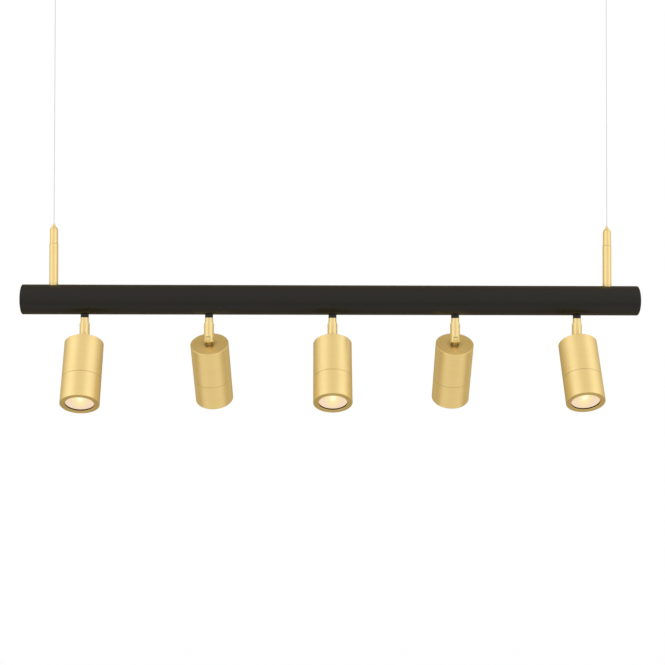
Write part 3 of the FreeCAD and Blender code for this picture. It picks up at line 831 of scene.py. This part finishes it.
class BuildPosts(PendantStep, bpy.types.Operator):
    """The brass stems on the bar, and the wire grippers with their plungers."""

    bl_idname = "pendant.posts"
    bl_label = "Stems and grippers"

    def execute(self, context):
        material = self.turned_brass()
        bar_z = middle("bar_tube").z
        tube_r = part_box("bar_tube")[1].z - bar_z
        wire_bore, plunger_bore = 0.9 * MM, 0.7 * MM
        tip_r, tip_hole = 2.15 * MM, 2.25 * MM
        cone_height, cone_top_r = 5 * MM, 3.4 * MM
        for side in SIDES:
            stem_low, stem_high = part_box("stem_" + side)
            grip_low, grip_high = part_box("gripper_" + side)
            tip_low, tip_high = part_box("plunger_" + side)
            x = middle("stem_" + side).x
            stem_r = (stem_high.x - stem_low.x) / 2
            grip_r = (grip_high.x - grip_low.x) / 2
            # the stem's foot goes just below where its rim meets the round of the bar
            foot = bar_z + math.sqrt(tube_r ** 2 - stem_r ** 2) - 0.1 * MM
            outline = [(wire_bore, foot), (stem_r, foot), (stem_r, grip_low.z, 0.3 * MM),
                       (wire_bore, grip_low.z)]
            stem = turned(f"stem_{side}_turned", rounded(outline, 0.2 * MM), upright(x), 64,
                          material=material)
            outline = [(tip_hole, grip_low.z), (grip_r, grip_low.z, 0.35 * MM),
                       (grip_r, grip_high.z - cone_height, 1.2 * MM),
                       (cone_top_r, grip_high.z, 0.4 * MM), (tip_hole, grip_high.z)]
            body = turned(f"gripper_{side}_turned", rounded(outline, 0.2 * MM, 6), upright(x), 64,
                          material=material)
            outline = [(plunger_bore, tip_low.z), (tip_r, tip_low.z),
                       (tip_r, tip_high.z, 0.5 * MM), (plunger_bore, tip_high.z)]
            tip = turned(f"plunger_{side}_turned", rounded(outline, 0.15 * MM), upright(x), 48,
                         material=material)
            for piece, node, part in ((stem, "stem_", "bar"), (body, "gripper_", "bar"),
                                      (tip, "plunger_", "release_" + side)):
                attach(piece, part)
                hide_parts(node + side)
            self.build_spring(side, x)
        return {"FINISHED"}

    def build_spring(self, side, x):
        """The spring under the jaws, a fixed coil on the bar; the real one shortens as the plunger goes down."""
        low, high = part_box("gripper_spring_" + side)
        wire, turns = 0.2 * MM, 3.5
        spring = coiled(f"gripper_spring_{side}_coil", x, low.z + wire, high.z - wire,
                        (high.x - low.x) / 2 - wire, wire, turns, self.zinc())
        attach(spring, "bar")
        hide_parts("gripper_spring_" + side)
        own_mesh(spring)


class BuildSpotlights(PendantStep, bpy.types.Operator):
    """The turned rear housing and front sleeve of each spotlight."""

    bl_idname = "pendant.spotlights"
    bl_label = "Spotlight bodies"

    def execute(self, context):
        material = self.turned_brass()
        rear_outline, sleeve_outline, bore_heights = self.sections()
        for n in HEADS:
            place = head_place(n)
            rear = turned(f"housing_{n}_turned", rear_outline, place, 160, material=material)
            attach(rear, f"spotlight_{n}")
            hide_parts(f"housing_{n}")
            sleeve = turned(f"sleeve_{n}_turned", sleeve_outline, place, 160, material=material)
            self.darken_bore(sleeve, place, bore_heights)
            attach(sleeve, f"front_{n}")
            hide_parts(f"sleeve_{n}")
        return {"FINISHED"}

    def sections(self):
        """The rounded sections of the housing and the sleeve, with heights from the pivot.

        The housing ends in a thin spigot, and the sleeve screws over it. Also returns the
        heights between which the front ring's bore lies.
        """
        size = self.sizes
        outer, edge = size.head_radius, size.edge
        inner = outer - size.head_wall
        top = -size.neck_length
        join = top - size.rear_length
        front = top - size.head_length
        tongue_hole, top_wall = 5.05 * MM, 4 * MM
        spigot = inner + 1.2 * MM
        spigot_end = join - 8 * MM
        rear = [(tongue_hole, top, 0.2 * MM), (outer, top, edge), (outer, join, 0.25 * MM),
                (spigot, join, 0), (spigot, spigot_end, 0.2 * MM), (inner, spigot_end, 0),
                (inner, top - top_wall, 0), (tongue_hole, top - top_wall, 0)]
        socket, socket_end = inner + 1.25 * MM, join - 8.3 * MM
        rim = join - 0.02 * MM
        groove, groove_r = join - size.join_groove, outer - size.join_groove
        bore, seat = size.ring_bore, size.lamp_radius + 0.1 * MM
        shelf = front + size.ring_depth
        seat_top = shelf + 3.1 * MM
        sleeve = [(socket, rim, 0), (groove_r, rim, 0), (groove_r, groove, 0),
                  (outer, groove, 0.2 * MM), (outer, front, 0.76 * MM), (bore, front, 0.4 * MM),
                  (bore, shelf, 0.2 * MM), (seat, shelf, 0), (seat, seat_top, 0),
                  (inner, seat_top, 0), (inner, socket_end, 0), (socket, socket_end, 0)]
        heights = front + 0.4 * MM, shelf + 3 * MM
        return rounded(rear, edge, 5), rounded(sleeve, 0.3 * MM, 5), heights

    def darken_bore(self, sleeve, place, heights):
        """Gives the faces inside the front ring's bore a darker brass, painted shade of the recess."""
        # the bore's darker brass is painted shade of the recess
        sleeve.data.materials.append(self.finish("bore_brass_painted_shade", plain_metal,
                                                 self.colours.bore, 0.5, 0.8 * MM))
        reach = self.sizes.ring_bore + 0.1 * MM
        own_frame = place.inverted()
        for face in sleeve.data.polygons:
            spot = own_frame @ face.center
            if heights[0] < spot.z < heights[1] and math.hypot(spot.x, spot.y) < reach:
                face.material_index = 1


class BuildLamps(PendantStep, bpy.types.Operator):
    """The lit reflector lamps behind the front rings."""

    bl_idname = "pendant.lamps"
    bl_label = "Lamps"

    def execute(self, context):
        size = self.sizes
        radius = size.lamp_radius
        lens_radius = radius - 0.7 * MM
        lens = self.finish("lit_lamp_lens", lit_lens, self.colours, size.ring_bore, lens_radius)
        shell = self.finish("lamp_shell_moulded", moulded, self.colours.ceramic, 0.35, 0.6 * MM)
        face_z = -size.neck_length - size.head_length + size.ring_depth + 0.1 * MM
        base = face_z + 46 * MM
        pin_spacing, pin_radius, pin_head = 10 * MM, 1.5 * MM, 2.4 * MM
        # a cup with a flat rim round the lens, a cone behind it and a round base
        rim_bore, rim, waist = radius - 0.6 * MM, face_z + 0.1 * MM, 12 * MM
        shell_outline = [(0, face_z + 9.1 * MM), (9 * MM, face_z + 9 * MM, 2 * MM),
                         (rim_bore, face_z + 2.2 * MM, 0), (rim_bore, rim, 0),
                         (radius, rim, 0.2 * MM), (radius, face_z + 3 * MM, 0.4 * MM),
                         (20 * MM, face_z + 14 * MM, 6 * MM), (waist, face_z + 33 * MM, 3 * MM),
                         (waist, base, 1 * MM), (0, base)]
        # a thin pin with a wider head, which twists behind the slot of the lampholder
        pin_outline = [(0, -0.5 * MM), (pin_radius, -0.5 * MM), (pin_radius, 4.8 * MM),
                       (pin_head, 4.8 * MM), (pin_head, 7 * MM), (0, 7 * MM)]
        shell_outline = rounded(shell_outline, 0.4 * MM, 6, closed=False)
        pin_outline = rounded(pin_outline, 0.2 * MM, 3, closed=False)
        lens_outline = self.bowl(face_z, lens_radius)
        for n in HEADS:
            place = head_place(n)
            front = turned(f"lamp_lens_{n}", lens_outline, place, 96, closed=False, material=lens)
            body = turned(f"lamp_shell_{n}", shell_outline, place, 96, closed=False,
                          material=shell)
            pins = []
            for letter, side in (("a", -1), ("b", 1)):
                spot = place @ Matrix.Translation((side * pin_spacing / 2, 0, base))
                pins.append(turned(f"lamp_pin_{n}_{letter}", pin_outline, spot, 32,
                                   closed=False, material=self.zinc()))
            for piece in (front, body, *pins):
                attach(piece, f"spotlight_{n}")
            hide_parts(f"lamp_{n}")
        return {"FINISHED"}

    def bowl(self, face_z, rim):
        """The lens as a shallow bowl, 1 mm thick: depth(r) = 7 mm cos(pi r / 2 R) squared."""
        radii = np.linspace(0, rim, 25)
        depth = 7 * MM * np.cos(math.pi * radii / (2 * rim)) ** 2
        front = np.column_stack([radii, face_z + 0.15 * MM + depth])
        back = np.column_stack([radii, face_z + 1.15 * MM + depth])
        return np.concatenate([front, back[::-1]])


class FinishNodes(PendantStep, bpy.types.Operator):
    """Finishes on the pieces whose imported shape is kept."""

    bl_idname = "pendant.nodes"
    bl_label = "Finishes on kept pieces"

    def execute(self, context):
        colours = self.colours
        brass = self.finish("satin_brass_small", small_brass, colours)
        black, zinc = self.powder_coat(), self.zinc()
        dark = self.finish("blackened_steel", plain_metal, colours.blackened, 0.45, 0.8 * MM)
        ceramic = self.finish("matt_ceramic", moulded, colours.ceramic, 0.6, 0.5 * MM)
        rubber = self.finish("matt_rubber", moulded, colours.rubber, 0.75, 0.4 * MM)
        plastic = self.finish("moulded_polyamide", moulded, colours.polyamide, 0.5, 0.6 * MM)
        by_slot = {
            "satin_brass": brass, "black_satin_paint": black, "zinc_plated_steel": zinc,
            "hardened_steel": dark, "spring_steel": zinc, "wire_rope_steel": zinc,
            "white_ceramic": ceramic, "black_rubber": rubber, "natural_polyamide": plastic,
            "lit_lamp": ceramic,
        }
        slots = {part["node"]: part["material_slot"] for part in frame["record"]["subparts"]}
        for node, piece in frame["nodes"].items():
            material = by_slot[slots[node]]
            for place in piece.material_slots:
                place.material = material
        return {"FINISHED"}


# ---------------- add-on
STEPS = (BuildStage, BuildWires, BuildBar, BuildPosts, BuildSpotlights, BuildLamps, FinishNodes)


class PendantPanel(bpy.types.Panel):
    """Lists the steps and values of the pendant."""

    bl_idname = "VIEW3D_PT_pendant"
    bl_label = "Linear pendant"
    bl_space_type = "VIEW_3D"
    bl_region_type = "UI"
    bl_category = "Pendant"

    def draw(self, context):
        for group in (context.scene.pendant_sizes, context.scene.pendant_colours):
            column = self.layout.column(align=True)
            for name in group.__annotations__:
                column.prop(group, name)
        for step in STEPS:
            self.layout.operator(step.bl_idname)


CLASSES = (PendantSizes, PendantColours, *STEPS, PendantPanel)


def register():
    for item in CLASSES:
        bpy.utils.register_class(item)
    bpy.types.Scene.pendant_sizes = bpy.props.PointerProperty(type=PendantSizes)
    bpy.types.Scene.pendant_colours = bpy.props.PointerProperty(type=PendantColours)


def unregister():
    del bpy.types.Scene.pendant_colours
    del bpy.types.Scene.pendant_sizes
    for item in reversed(CLASSES):
        bpy.utils.unregister_class(item)


def main():
    register()
    bpy.context.scene.view_settings.view_transform = "Standard"
    for step in STEPS:
        group, name = step.bl_idname.split(".")
        getattr(getattr(bpy.ops, group), name)()


if __name__ == "__main__":
    main()
